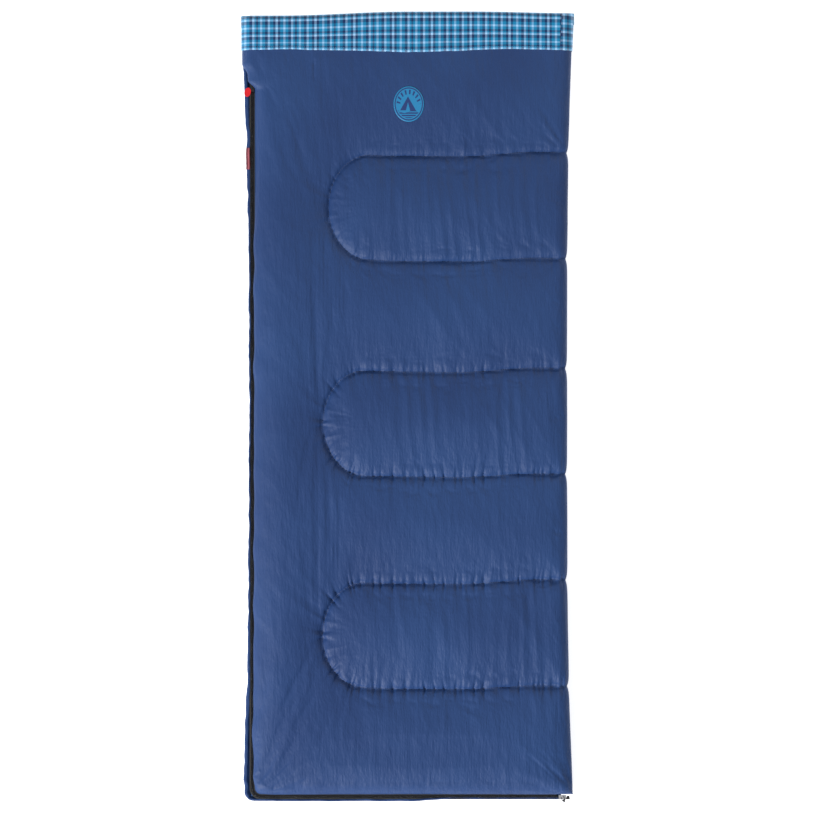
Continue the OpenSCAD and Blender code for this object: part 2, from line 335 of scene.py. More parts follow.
# %% [markdown]
# Real cloth never starts flat: the ripple above, drawn out across the seams, tells the solver
# where the first pleats go. The noise is the same on every run, so the result is too.

# %% Gather the shell by simulation
def gather(grid, steps):
    """Let the cloth find its pleats, and return its settled places."""
    clear_selection()
    bpy.ops.mesh.primitive_grid_add(x_subdivisions=COLS, y_subdivisions=ROWS, size=1)
    piece = name_it(bpy.context.object, "gathering")
    share = points(piece)[:, :2] + 0.5
    c = np.rint(share[:, 0] * COLS).astype(int)
    r = np.rint(share[:, 1] * ROWS).astype(int)
    sewn = grid[r, c]
    set_points(piece, sewn)
    bpy.ops.object.shape_key_add(from_mix=False)
    bpy.ops.object.shape_key_add(from_mix=False)
    cut = piece.data.shape_keys.key_blocks[1]
    cut.data.foreach_set("co", (sewn * np.array([1.055, 1.016, 1.0])).ravel())
    cut.value = 0.0
    edge = (c == 0) | (c == COLS) | (r == 0) | (r == ROWS)
    held = edge | (seam_d[r, c] < 0.0031) | (under_band[r, c] > 0.5)
    pins = piece.vertex_groups.new(name="sewn")
    pins.add([int(i) for i in np.nonzero(held)[0]], 1.0, "REPLACE")
    cloth = piece.modifiers.new("Cloth", "CLOTH")
    s = cloth.settings
    s.quality = 4
    s.mass = 0.08
    s.air_damping = 1.5
    s.tension_stiffness = s.compression_stiffness = 16
    s.shear_stiffness = 3
    s.bending_stiffness = 0.02
    s.tension_damping = s.compression_damping = 6
    s.bending_damping = 0.4
    s.vertex_group_mass = "sewn"
    s.rest_shape_key = cut
    s.use_pressure = True
    s.uniform_pressure_force = 0.45
    s.effector_weights.gravity = 0
    cloth.collision_settings.use_collision = False
    cloth.point_cache.frame_start, cloth.point_cache.frame_end = 1, steps
    for step in range(1, steps + 1):
        bpy.context.scene.frame_set(step)
    settled = piece.evaluated_get(bpy.context.evaluated_depsgraph_get())
    flat = np.empty(len(settled.data.vertices) * 3)
    settled.data.vertices.foreach_get("co", flat)
    out = grid.copy()
    out[r, c] = flat.reshape(-1, 3)
    bpy.context.scene.frame_set(1)
    bpy.data.objects.remove(piece)
    return out


# %% Run it, and cap how far the cloth may move
settled = gather(start, 26)
settled[..., 2] = np.minimum(settled[..., 2], TOP + 0.007)
print("gathered: highest", round(float(settled[..., 2].max()), 4))

# %% [markdown]
# The finest pleats are narrower than the simulated grid can hold. So the grid is made twice as
# fine with a smooth curve between its points, and fine ripples are pressed in by the same rule:
# across the seams, deep beside them and faint far away. The quilt also bulges a little over the
# zip, because the wadding pushes its side out above the tape.


# %% Fine ripples
CREASE_X, CREASE_WIDTH = -0.224, 0.0022


def finer(grid):
    """Twice as many rows and columns, on a smooth curve through the old ones."""
    for axis in (0, 1):
        g = np.moveaxis(grid, axis, 0)
        padded = np.concatenate([2 * g[:1] - g[1:2], g, 2 * g[-1:] - g[-2:-1]])
        middle = (9 * (padded[1:-2] + padded[2:-1]) - padded[:-3] - padded[3:]) / 16
        out = np.empty((2 * len(g) - 1,) + g.shape[1:])
        out[0::2], out[1::2] = g, middle
        grid = np.moveaxis(out, 0, axis)
    return grid


def outward(grid):
    """The direction out of the sheet at each place."""
    u = np.gradient(grid, axis=1)
    v = np.gradient(grid, axis=0)
    n = np.cross(u, v)
    return n / np.maximum(np.linalg.norm(n, axis=-1, keepdims=True), 1e-12)


shell = finer(settled)
flat_x, flat_y = finer(start)[..., 0], finer(start)[..., 1]
full = np.clip(finer(fullness[..., None])[..., 0], 0, 1)
band_part = ease((flat_y - HEAD + BAND - 0.005) / 0.02)
d, s = nearest_seam(flat_x, flat_y)
near = np.exp(-d / 0.026)
patch = 0.45 + 0.9 * np.clip(wavy(flat_x, flat_y, 4.2, 5, 4) + 0.3, 0, 1)
bent = flat_x + 0.010 * wavy(flat_x, flat_y, 8.1, 5, 7) + 0.10 * np.sin(flat_y * 3.1) * 0.2


def ridged(x, y, seed, fx, fy):
    """Noise folded over into sharp ridges, as creased cloth has, from -1 to 1."""
    return 1 - 3.2 * np.abs(wavy(x, y, seed, fx, fy))


# Puckers that fan out from the stitching, and are stronger towards the foot.
fan = ridged(s + 0.35 * d * wavy(s, 0 * d, 1.7, 14, 1), d, 3.7, 52, 5)
vigour = 0.5 + 0.8 * ease((0.55 - flat_y) / 0.9)
fine = fan * (0.00014 + 0.0011 * near * patch * vigour) + wavy(s, d, 5.9, 130, 10) * 0.0006 * near
creased = np.clip(ridged(s + 0.5 * d * wavy(s, 0 * d, 3.1, 9, 1), 0.4 * d, 6.4, 44, 3), 0, 1) ** 2
fine -= creased * 0.0048 * np.exp(-d / 0.012) * vigour ** 1.7

# Long drawn creases: up and down inside the loops, slanting outside them.
inside_loop = np.zeros(np.shape(flat_x))
for middle, reach in LOOPS:
    inside_loop = np.maximum(inside_loop, ease((LOOP_HALF + 0.005 - np.abs(flat_y - middle)) / 0.03)
                             * ease((flat_x + reach) / 0.12))
streak = ridged(bent + 0.05 * flat_y, flat_y, 9.2, 34, 2.2) * (0.00032 + 0.00085 * inside_loop) * patch
streak += ridged(flat_x + 0.55 * flat_y, flat_y, 2.2, 16, 4) * 0.00060 * patch
streak += ridged(0.8 * flat_x - 0.6 * flat_y, flat_x, 5.2, 12, 9) * 0.00035 * (1 - inside_loop)
streak += wavy(flat_x, flat_y, 6.2, 70, 7) * 0.00035

# One short upright crease below the band.
crease_shape = np.exp(-(((flat_x - CREASE_X) / CREASE_WIDTH) ** 2))
streak -= 0.0028 * crease_shape * ease((flat_y - 0.780) / 0.02) * ease((0.845 - flat_y) / 0.02)
pinch = 1 - np.exp(-d / 0.003)
press = (fine + streak) * (0.35 + 0.65 * pinch) * (0.3 + 0.7 * full) * (1 - 0.8 * band_part)
shell = shell + outward(shell) * press[..., None]

# The wadding pushes the left side out over the zip, most of all where the zip begins.
over_zip = 0.0105 * ease((0.62 - flat_y) / 0.30) * ease((flat_y + 0.925) / 0.05)
over_zip *= 0.85 + 0.35 * wavy(flat_y, 0 * flat_y, 3.9, 16, 1)
over_zip = np.maximum(over_zip, 0.020 * ease((flat_y - 0.764) / 0.026) * ease((0.822 - flat_y) / 0.040))
column_half = np.arange(shell.shape[1]) / 2
shell[..., 0] -= over_zip * (ease((column_half - 0.8) / 2.2) * (1 - ease((column_half - 4) / 9)))

# Each seam draws the fold in, which notches the right side.
beyond = np.clip((flat_x - seam_x(flat_y)) / MID, 0, 1)
shell[..., 0] -= 0.0050 * beyond * np.exp(-d / 0.010)
shell = lie(shell)
print("shell grid", shell.shape, "ripple", round(float(np.abs(press).max()) * 1000, 2), "mm")


# %% [markdown]
# A quilt is a padded, closed piece: the gathered shell on its outside, a turned-in margin, and a
# flat back that the lining covers. Mesh code fits it best: rings of places run on from the edge of
# the shell grid, and one flat face closes the back. The grid is cut where the fold begins, because
# the fold has to bend when the bag is opened out.


# %% Close a sheet into a quilt
def closed_quilt(name, grid, rings):
    """The grid, then rings of places that run on from its edge, then a flat back."""
    index, faces = numbered(grid)
    loop = np.concatenate([index[0, :-1], index[:-1, -1], index[-1, :0:-1], index[:0:-1, 0]])
    places = [grid.reshape(-1, 3)]
    last = loop
    for ring in rings(places[0][loop], *index.shape):
        new = np.arange(len(loop)) + sum(len(p) for p in places)
        places.append(ring)
        faces += np.stack([last, new, np.roll(new, -1), np.roll(last, -1)], -1).tolist()
        last = new
    faces.append([int(i) for i in last[::-1]])
    piece = face_outwards(new_piece(name, np.concatenate(places), faces))
    bpy.ops.object.shade_smooth_by_angle(angle=math.radians(60))
    return piece


def inward(edge, rows, cols, corner_centre):
    """For each place on the edge: the way in, and whether it is on a zipped side."""
    way = np.zeros((len(edge), 2))
    zipped = np.zeros(len(edge), dtype=bool)
    a, b, c = cols - 1, cols - 1 + rows - 1, 2 * (cols - 1) + rows - 1
    way[:a], zipped[:a] = (0, 1), True
    way[a:b] = (-1, 0)
    way[b:c] = (0, -1)
    way[c:], zipped[c:] = (1, 0), True
    way[0] = way[1]
    near = zipped & (edge[:, 0] < corner_centre[0]) & (edge[:, 1] < corner_centre[1])
    turn = np.array(corner_centre) - edge[near, :2]
    way[near] = turn / np.linalg.norm(turn, axis=1, keepdims=True)
    return way, zipped


# %% Build the upper quilt
def upper_rings(edge, rows, cols):
    """The cloth turns in over the zip tape and up to the lining."""
    way, zipped = inward(edge, rows, cols, (-0.367 + 0.016, UPPER_FOOT + 0.016))
    for offset, z in ((0.0015, 0.0297), (0.004, 0.0318), (0.007, 0.0343), (0.010, 0.0352)):
        ring = edge.copy()
        ring[:, :2] += way * np.where(zipped, offset, 0.1 * offset)[:, None]
        share = (z - 0.0295) / (0.0352 - 0.0295)
        ring[:, 2] = np.where(zipped, z, edge[:, 2] + (0.0352 - edge[:, 2]) * share)
        yield ring


CUT = 2 * (COLS - FOLD_COLS)
upper_quilt = closed_quilt("upper_quilt", shell[:, :CUT + 1], upper_rings)
print("upper quilt", len(upper_quilt.data.polygons), "faces")

# %% [markdown]
# The underside is the same cloth lying on the ground, so its pleats are pressed flat where it
# carries the wadding. It can use the simulated grid turned over. On the left and at the foot it
# reaches out past the zip, rolls up and over the outer part of the tape, and is puckered by the
# seam that holds the tape.

# %% Lay the lower quilt on the ground
base_x, base_y = start[..., 0], start[..., 1]
low = settled.copy()
stretch = (HEAD - FOOT) / (HEAD - UPPER_FOOT)
longer = 1 + (stretch - 1) * ease(-base_y / 0.3)
low[..., 1] = HEAD - (HEAD - settled[..., 1]) * longer
edge_y = HEAD - (HEAD - base_y) * longer
left_now, left_low = up_left(base_y), low_left(edge_y)
share = (seam_x(base_y) - left_low) / (seam_x(base_y) - left_now)
low[..., 0] = np.where(base_x < seam_x(base_y),
                       left_low + (settled[..., 0] - left_now) * share, settled[..., 0])
rise = np.clip(settled[..., 2] - MID, 0, None)
low[..., 2] = MID - rise * 1.06
pressed = ease((fullness - 0.55) / 0.35)
room_for_band = 0.0030 * ease((base_y - 0.850) / 0.012)
low[..., 2] = np.maximum(low[..., 2] * (1 - 0.6 * pressed), 0.0004 + room_for_band)
low = lie(low)


BACK_Z = 0.0226


def lower_rings(edge, rows, cols):
    """The margin rolls over the zip tape, turns under, and meets the lining."""
    way, zipped = inward(edge, rows, cols, (-0.395 + 0.026, FOOT + 0.026))
    length = np.concatenate([[0], np.cumsum(np.linalg.norm(np.diff(edge[:, :2], axis=0), axis=1))])
    pucker = wavy(length, 0 * length, 8.8, 31, 1) + 0.6 * wavy(length, 0 * length, 6.1, 78, 1)
    side = np.abs(way[:, 0])
    width = np.where(side > 0.5, np.clip(-0.3781 - edge[:, 0], 0.0045, 0.0085), 0.0052)
    for share, drop, puff in ((0.10, 0.0298, 0.5), (0.35, 0.0305, 1.0), (0.65, 0.0304, 1.0),
                              (0.92, 0.0299, 0.7), (1.0, 0.0293, 0.4), (1.05, 0.0284, 0.0),
                              (1.3, 0.0262, 0.0), (1.7, 0.0242, 0.0), (2.0, BACK_Z, 0.0)):
        ring = edge.copy()
        ring[:, :2] += way * np.where(zipped, width * share, 0.0003 * share)[:, None]
        lift = pucker * puff * 0.0017
        ring[:, :2] -= way * np.where(zipped, lift * 0.8, 0)[:, None]
        ring[:, 2] = np.where(zipped, drop + lift, edge[:, 2] + (BACK_Z - edge[:, 2]) * min(1.0, share / 2.0))
        yield ring


side_y = low[:, 0, 1]
scallop = wavy(side_y, 0 * side_y, 3.3, 19, 1) * 0.0034 + wavy(side_y, 0 * side_y, 1.9, 52, 1) * 0.0017
for column_index, share in ((0, 1.0), (1, 0.9), (2, 0.75), (3, 0.5), (4, 0.25)):
    low[4:-6, column_index, 0] += scallop[4:-6] * share
low_x = low[..., 0]
foot_rise = 0.006 * ease((low_x - 0.01) / 0.10) + 0.0012 * wavy(low_x, 0 * low_x, 7.7, 24, 1)
low[..., 1] += foot_rise * ease((-0.915 - low[..., 1]) / 0.03)
lower_quilt = closed_quilt("lower_quilt", low[:, :COLS - FOLD_COLS + 1], lower_rings)
print("lower quilt", len(lower_quilt.data.polygons), "faces")

# %% [markdown]
# The fold is a half tube of the same quilt from the lower panel round to the upper one.

# %% Build the fold
outside = shell[:, CUT:]
under = finer(low)[:, CUT:][:, ::-1].copy()
under[..., :2] = outside[:, ::-1, :2]
tall = np.maximum(np.abs(outside[:, 0, 2] - MID), 0.0006)
turns = np.linspace(-90, 90, 13)


def inner_ring(reach, height):
    """The inside of the fold, from the lower panel to the upper one, for each row."""
    rows = []
    for a in turns:
        c, sn = math.cos(math.radians(a)), math.sin(math.radians(a))
        x0 = outside[:, 0, 0]
        z = MID + np.minimum(height, 0.75 * tall) * sn
        rows.append(np.stack([x0 + (reach - x0) * c, outside[:, 0, 1], z], -1))
    return np.stack(rows, 1)


tongue = inner_ring(0.3788, 0.0064)
ring_grid = np.concatenate([outside, under[:, 1:], tongue, outside[:, :1]], axis=1)
fold_quilt = cloth_grid("fold_quilt", ring_grid)
only(fold_quilt)
bpy.ops.object.mode_set(mode="EDIT")
bpy.ops.mesh.select_all(action="SELECT")
bpy.ops.mesh.remove_doubles(threshold=0.000005)
bpy.ops.mesh.select_all(action="DESELECT")
bpy.ops.mesh.select_mode(type="EDGE")
bpy.ops.mesh.select_non_manifold()
bpy.ops.mesh.edge_face_add()
bpy.ops.object.mode_set(mode="OBJECT")
face_outwards(fold_quilt)
bpy.ops.object.shade_smooth_by_angle(angle=math.radians(60))
print("fold", len(fold_quilt.data.polygons), "faces")

# %% [markdown]
# The lining is one brushed plaid sheet per panel, sewn along the zip and the head. It puffs in a
# little between the lines of quilting. It is made as a sheet with its place on the cut cloth kept
# as a texture map, so that the plaid follows the cloth, and Solidify gives it a real thickness.


# %% Make the lining
LINING_THICK = 0.0006
LINING_ROWS, LINING_COLS = 236, 92


def lining(name, z, puff, left, foot, bend_z):
    """A plaid sheet over one panel, from the zip to the fold."""
    ys = np.linspace(foot, HEAD - 0.0015, LINING_ROWS)
    grid, cut = [], []
    for y in ys:
        a = float(left(np.array(y)))
        b = float(seam_x(y)) + 0.0003
        hem = a + np.array([0.0, 0.0015, 0.0035, 0.006])
        xs = np.concatenate([hem, np.linspace(a + 0.010, b, LINING_COLS)])
        d_here, _ = nearest_seam(xs, np.full(xs.shape, y))
        soft = 1 - np.exp(-d_here / 0.035)
        edge = ease((xs - a) / 0.008) * ease((y - foot) / 0.006)
        height = z + puff * soft + 0.0004 * wavy(xs, 0 * xs + y, z * 900, 14, 14)
        grid.append(np.stack([xs, 0 * xs + y, bend_z + (height - bend_z) * edge], -1))
        cut.append(np.stack([xs, 0 * xs + y], -1))
    return thicken(cloth_grid(name, lie(np.array(grid)), np.array(cut)), LINING_THICK)


upper_liner = lining("upper_lining", 0.0347, -0.0018, lambda y: up_left(y) + 0.006,
                     UPPER_FOOT + 0.006, 0.0318)
lower_liner = lining("lower_lining", 0.0233, 0.0016,
                     lambda y: np.maximum(low_left(y) + 0.0075, -0.3765), FOOT + 0.0120, 0.0268)
tip = inner_ring(0.3776, 0.0056)
around_tip = np.radians(turns + 90) * 0.016
fold_cut = np.stack([np.broadcast_to(flat_x[:, CUT][:, None] + around_tip, tip.shape[:2]),
                     np.broadcast_to(flat_y[:, CUT][:, None], tip.shape[:2])], -1)
fold_liner = thicken(cloth_grid("fold_lining", tip[6:-3:3], fold_cut[6:-3:3]), LINING_THICK)
print("lining", [len(p.data.polygons) for p in (upper_liner, lower_liner, fold_liner)])

# %% [markdown]
# The band is a strip of the plaid sewn over the head edge of each panel. It follows the quilt a
# millimetre above it, turns round the edge, and ends inside the mouth. Its free edge is folded
# under, so it shows a thin rounded hem with a shadow below it.

# %% Make the band
HEM_ROWS = int(np.argmax(flat_y[:, 0] > HEAD - BAND - 0.001))


def hem_shift(x):
    """The hem hangs lowest in the middle of the bag, and is a little wavy."""
    return 0.004 * ease(-x / 0.30) - 0.009 * np.exp(-(x / 0.16) ** 2) + wavy(x, 0 * x, 5.5, 9, 1) * 0.0020


def band(name, grid, cloth_x, cloth_y, floor_side):
    """A band over the head rows of a quilt grid. floor_side is -1 for the lower panel."""
    part = grid[HEM_ROWS:] + floor_side * outward(grid)[HEM_ROWS:] * 0.0014
    x, y = cloth_x[HEM_ROWS:], cloth_y[HEM_ROWS:]
    edge = np.exp(-(y - y[0]) / 0.025)
    part[..., 1] += edge * (hem_shift(x) + wavy(x, 0 * x, 2.7, 34, 1) * 0.0007)
    waves = wavy(x, y, 6.6, 13, 6) * 0.0011 + wavy(x, y, 8.3, 38, 9) * 0.0005
    part[..., 2] += floor_side * waves * (grid[HEM_ROWS:, :, 2] > 0.004)
    part[..., 2] = np.maximum(part[..., 2], 0.0006)
    hem = part[0] - np.array([0, 0.0012, 0])
    hem[:, 2] -= floor_side * 0.0012
    inside = [part[-1] - np.array([0, back, 0]) for back in (0.0015, 0.006, 0.014, 0.026)]
    rows = np.concatenate([hem[None], part, np.array(inside)])
    steps = np.linalg.norm(np.diff(rows[:, rows.shape[1] // 2], axis=0), axis=1)
    run = np.broadcast_to(np.concatenate([[0], np.cumsum(steps)])[:, None], rows.shape[:2])
    cut = np.stack([np.concatenate([x[:1], x, np.repeat(x[-1:], len(inside), 0)]), run], -1)
    return thicken(cloth_grid(name, rows, cut), 0.0009)


upper_cuff = band("upper_band", shell[:, :CUT + 1], flat_x[:, :CUT + 1], flat_y[:, :CUT + 1], 1)
low_fine = finer(low)
lower_cuff = band("lower_band", low_fine[:, :CUT + 1], flat_x[:, :CUT + 1], flat_y[:, :CUT + 1], -1)
around = np.concatenate([outside, under[:, 1:]], axis=1)
around_x = np.concatenate([flat_x[:, CUT:], 2 * flat_x[:, -1:] - flat_x[:, CUT:][:, ::-1][:, 1:]], axis=1)
around_y = np.broadcast_to(flat_y[:, CUT:CUT + 1], around_x.shape)
fold_cuff = band("fold_band", around, around_x, around_y, 1)
print("band", [len(p.data.polygons) for p in (upper_cuff, lower_cuff, fold_cuff)], "hem row", HEM_ROWS)

# %% [markdown]
# The quilting is a lockstitch in thick thread. One stitch is modelled as a small rounded bar that
# dips into the cloth at both ends, and copied along the seams with its own turn. A ray dropped on
# the quilt finds the height of each.


# %% Model one stitch and copy it
def one_stitch(length, width):
    """A short rounded bar along X that arches between two holes."""
    clear_selection()
    bpy.ops.mesh.primitive_cylinder_add(vertices=6, radius=width / 2, depth=length,
                                        rotation=(0, math.pi / 2, 0))
    bar = place_in_mesh(bpy.context.object)
    bpy.ops.object.mode_set(mode="EDIT")
    bpy.ops.mesh.select_all(action="SELECT")
    for cut in (-0.3, 0.0, 0.3):
        bpy.ops.mesh.select_all(action="SELECT")
        bpy.ops.mesh.bisect(plane_co=(cut * length, 0, 0), plane_no=(1, 0, 0))
    bpy.ops.object.mode_set(mode="OBJECT")
    rows = points(bar)
    far = np.abs(rows[:, 0]) / (length / 2)
    rows[:, 1:] *= (1 - 0.45 * far**3)[:, None]
    rows[:, 2] += width * 0.45 * (1 - far**2) - width * 0.25
    set_points(bar, rows)
    return bar


def copy_along(name, model, frames):
    """Copies of one model, each put in place by an origin and three directions."""
    rows = points(model)
    faces = [tuple(f.vertices) for f in model.data.polygons]
    places = [o + rows[:, :1] * a + rows[:, 1:2] * b + rows[:, 2:] * c for o, a, b, c in frames]
    count = len(rows)
    every = [tuple(v + k * count for v in f) for k in range(len(frames)) for f in faces]
    piece = new_piece(name, np.concatenate(places), every)
    bpy.ops.object.shade_smooth()
    return piece


def tree_of(grid):
    """A search tree of a grid's faces, for dropping rays on it."""
    return BVHTree.FromPolygons(grid.reshape(-1, 3).tolist(), numbered(grid)[1])


top_tree = tree_of(shell[::2, ::2])
under_tree = tree_of(low)


def rows_of_stitches(name, paths, model, tree, up, sink=0.0):
    """A stitch at every place along the paths, on the cloth that the tree holds."""
    frames = []
    for path in paths:
        for (x0, y0), (x1, y1) in zip(path[:-1], path[1:]):
            middle = Vector(((x0 + x1) / 2, (y0 + y1) / 2, 0.2 if up > 0 else -0.2))
            hit, normal, _, _ = tree.ray_cast(middle, Vector((0, 0, -up)))
            if hit is None:
                continue
            normal = normal if normal.z * up > 0 else -normal
            way = Vector((x1 - x0, y1 - y0, 0))
            way = (way - normal * way.dot(normal)).normalized()
            side = normal.cross(way)
            frames.append([np.array(v) for v in (hit - normal * sink, way, side, normal)])
    piece = copy_along(name, model, frames)
    print(name, len(frames), "stitches")
    return piece


stitch = one_stitch(0.0034, 0.0009)
paths = [seam_path(k, 0.0052) for k in range(3)]
upper_quilt_stitches = rows_of_stitches("upper_quilting", paths, stitch, top_tree, 1, 0.0002)
lower_quilt_stitches = rows_of_stitches("lower_quilting", paths, stitch, under_tree, -1, 0.0004)
hem_x = np.linspace(-0.392, 0.353, 152)
hem_y = HEAD - BAND + 0.0045 + hem_shift(hem_x)
hem_y = lie(np.stack([hem_x, hem_y, 0 * hem_x], -1))[..., 1]
hem_line = [(float(a), float(b)) for a, b in zip(hem_x, hem_y)]
band_tree = BVHTree.FromObject(upper_cuff, bpy.context.evaluated_depsgraph_get())
fine_stitch = one_stitch(0.0032, 0.0007)
cuff_stitches = rows_of_stitches("band_stitching", [hem_line], fine_stitch, band_tree, 1, 0.0001)
for model in (stitch, fine_stitch):
    bpy.data.objects.remove(model)

# %% [markdown]
# The zip runs down the left side, round the foot corner and along the foot. A path with a way
# outwards at every place serves all its parts: the two tapes are strips beside the path, and each
# side's teeth are one nylon coil, a small loop every 2 mm that reaches just past the middle so
# that the two sides lock.


# %% The path of the zip
def zip_path(step, top, right):
    """Places on the zip's middle line, with the way outwards and the distance run."""
    centre = np.array([ZIP_X + ZIP_CORNER, ZIP_Y + ZIP_CORNER])
    down = top - centre[1]
    bend = ZIP_CORNER * math.pi / 2
    total = down + bend + right - centre[0]
    rows = []
    for run in np.arange(0, total, step):
        if run < down:
            rows.append((ZIP_X, top - run, -1.0, 0.0, run))
        elif run < down + bend:
            a = math.pi + (run - down) / ZIP_CORNER
            rows.append((centre[0] + ZIP_CORNER * math.cos(a), centre[1] + ZIP_CORNER * math.sin(a),
                         math.cos(a), math.sin(a), run))
        else:
            rows.append((centre[0] + run - down - bend, ZIP_Y, 0.0, -1.0, run))
    return np.array(rows)


def tape(name, near, far, top, right):
    """A woven strip beside the teeth. near and far are distances out from the middle line."""
    way = zip_path(0.004, top, right)
    across_tape = np.linspace(near, far, 6)
    x = way[:, :1] + way[:, 2:3] * across_tape
    y = way[:, 1:2] + way[:, 3:4] * across_tape
    z = TAPE_Z + 0.0003 + 0.00012 * wavy(x, y, 2.1, 40, 40)
    cut = np.stack([np.broadcast_to(across_tape, x.shape), np.broadcast_to(way[:, 4:5], x.shape)], -1)
    return thicken(cloth_grid(name, np.stack([x, y, z], -1), cut), 0.0005)


lower_zip_tape = tape("lower_tape", 0.0007, 0.0056, HEAD_STOP + 0.016, FOOT_STOP + 0.018)
upper_zip_tape = tape("upper_tape", -0.0007, -0.0085, 0.7584, 0.3629)
print("tape faces", len(lower_zip_tape.data.polygons), len(upper_zip_tape.data.polygons))


# %% Wind the two coils
def one_tooth():
    """A loop of coil across the tape: a squashed ring of thick round nylon."""
    clear_selection()
    bpy.ops.mesh.primitive_torus_add(major_radius=0.001, minor_radius=0.00036, major_segments=10,
                                     minor_segments=5, rotation=(math.pi / 2, 0, 0))
    ring = place_in_mesh(bpy.context.object)
    rows = points(ring)
    rows[:, 0] *= 1.42
    rows[:, 2] *= 0.78
    rows[:, 1] += rows[:, 2] * 0.35
    set_points(ring, rows)
    return ring


def coil(name, model, side, top, right):
    """One side's coil. side is 1 outside the middle line and -1 inside."""
    way = zip_path(0.002, top, right)
    frames = []
    for x, y, nx, ny, _ in way:
        shift = side * 0.00145
        step = 0.001 if side > 0 else 0.0
        origin = np.array([x + nx * shift + ny * step * -1, y + ny * shift + nx * step, TEETH_Z + 0.00112])
        frames.append([origin, np.array([nx, ny, 0.0]), np.array([-ny, nx, 0.0]), np.array([0, 0, 1.0])])
    return copy_along(name, model, frames)


tooth = one_tooth()
lower_zip_coil = coil("lower_teeth", tooth, 1, HEAD_STOP + 0.012, FOOT_STOP + 0.010)
upper_zip_coil = coil("upper_teeth", tooth, -1, 0.7584, 0.3505)
bpy.data.objects.remove(tooth)
print("teeth", len(lower_zip_coil.data.polygons) // 50, len(upper_zip_coil.data.polygons) // 50)

# %% [markdown]
# The side label is a folded ribbon caught in the margin's seam. It is a sheet a little curled at
# its free end. The badge is a print on a thin flexible disc, heat-pressed to the quilt: a polar
# grid dropped on the shell follows its pleats, and its motif is a plain sun over hills and a tent.

# %% Make the label and the badge
u, v = np.meshgrid(np.linspace(0, 1, 9), np.linspace(0, 1, 40))
label_x = -0.3882 + 0.0092 * u + 0.0004 * np.sin(v * 7)
label_y = 0.5725 + 0.052 * v
label_z = 0.0313 + 0.0007 * np.sin(v * 9 + 1) * (0.4 + u) + 0.0005 * u
side_label = cloth_grid("ribbon_label", np.stack([label_x, label_y, label_z], -1),
                        np.stack([u * 0.0092, v * 0.052], -1))
thicken(side_label, 0.0004)

BADGE_X, BADGE_Y, BADGE_A, BADGE_B = 0.003, 0.727, 0.0365, 0.0425
turn_grid, out_grid = np.meshgrid(np.linspace(0, 2 * math.pi, 97), np.linspace(0.02, 1, 22))
badge_x = BADGE_X + BADGE_A * out_grid * np.cos(turn_grid)
badge_y = BADGE_Y + BADGE_B * out_grid * np.sin(turn_grid)
badge_z = np.empty_like(badge_x)
for spot in np.ndindex(badge_x.shape):
    hit = top_tree.ray_cast(Vector((badge_x[spot], badge_y[spot], 0.2)), Vector((0, 0, -1)))[0]
    badge_z[spot] = hit.z
level = badge_z.mean()
badge_z = level + (badge_z - level) * 0.75 + 0.0010
badge_cut = np.stack([out_grid * np.cos(turn_grid), out_grid * np.sin(turn_grid)], -1)
badge_print = cloth_grid("badge", np.stack([badge_x, badge_y, badge_z], -1), badge_cut)
only(badge_print)
bpy.ops.object.mode_set(mode="EDIT")
bpy.ops.mesh.select_all(action="SELECT")
bpy.ops.mesh.remove_doubles(threshold=0.00001)
bpy.ops.mesh.select_all(action="DESELECT")
bpy.ops.mesh.select_mode(type="EDGE")
bpy.ops.mesh.select_non_manifold()
bpy.ops.object.mode_set(mode="OBJECT")
rows = points(badge_print)
centre_edges = [e for e in badge_print.data.edges if e.select and
                (rows[e.vertices[0], 0] - BADGE_X) ** 2 + (rows[e.vertices[0], 1] - BADGE_Y) ** 2 < 0.0001]
for e in badge_print.data.edges:
    e.select = False
for e in centre_edges:
    e.select = True
bpy.ops.object.mode_set(mode="EDIT")
bpy.ops.mesh.edge_face_add()
bpy.ops.object.mode_set(mode="OBJECT")
thicken(badge_print, 0.0005)
print("badge", len(badge_print.data.polygons), "faces, label", len(side_label.data.polygons))

# %% [markdown]
# The grip on the upper pull is an injection-moulded oval with a raised rim and a hole for the wire
# loop. It is made from a cylinder: the top face is inset for the rim and pushed down, and a bevel
# rounds every edge, as a mould would.

# %% Model the grip
low_corner, high_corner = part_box("head_pull_grip")
clear_selection()
bpy.ops.mesh.primitive_cylinder_add(vertices=40, radius=1, depth=0.0023)
head_pull_grip = name_it(bpy.context.object, "oval_grip")
head_pull_grip.scale = (0.0078, 0.0112, 1)
place_in_mesh(head_pull_grip)
bpy.ops.object.mode_set(mode="EDIT")
bpy.ops.mesh.select_mode(type="FACE")
bpy.ops.mesh.select_all(action="DESELECT")
bpy.ops.object.mode_set(mode="OBJECT")
for face in head_pull_grip.data.polygons:
    face.select = abs(face.normal.z) > 0.9
bpy.ops.object.mode_set(mode="EDIT")
bpy.ops.mesh.inset(thickness=0.0016, use_individual=True)
bpy.ops.transform.resize(value=(1, 1, 0.62))
bpy.ops.object.mode_set(mode="OBJECT")
rounding = head_pull_grip.modifiers.new("moulded edges", "BEVEL")
rounding.width, rounding.segments, rounding.limit_method, rounding.angle_limit = 0.00035, 3, "ANGLE", 0.5
apply_modifiers(head_pull_grip)
bpy.ops.object.shade_smooth()
grip_turn = math.radians(-14)
grip_middle = np.array([-0.3843, 0.7578])
rows = points(head_pull_grip)
turned = np.stack([rows[:, 0] * math.cos(grip_turn) - rows[:, 1] * math.sin(grip_turn),
                   rows[:, 0] * math.sin(grip_turn) + rows[:, 1] * math.cos(grip_turn)], -1)
rows[:, :2] = turned + grip_middle
rows[:, 2] += (low_corner[2] + high_corner[2]) / 2
set_points(head_pull_grip, rows)
face_outwards(head_pull_grip)
print("grip", rows.min(0).round(4), rows.max(0).round(4), "CAD", low_corner, high_corner)

# %% [markdown]
# Colours are written as the sRGB hex values a painter would pick, and one function makes them
# linear for the renderer. One small function adds a node with its settings and its links.


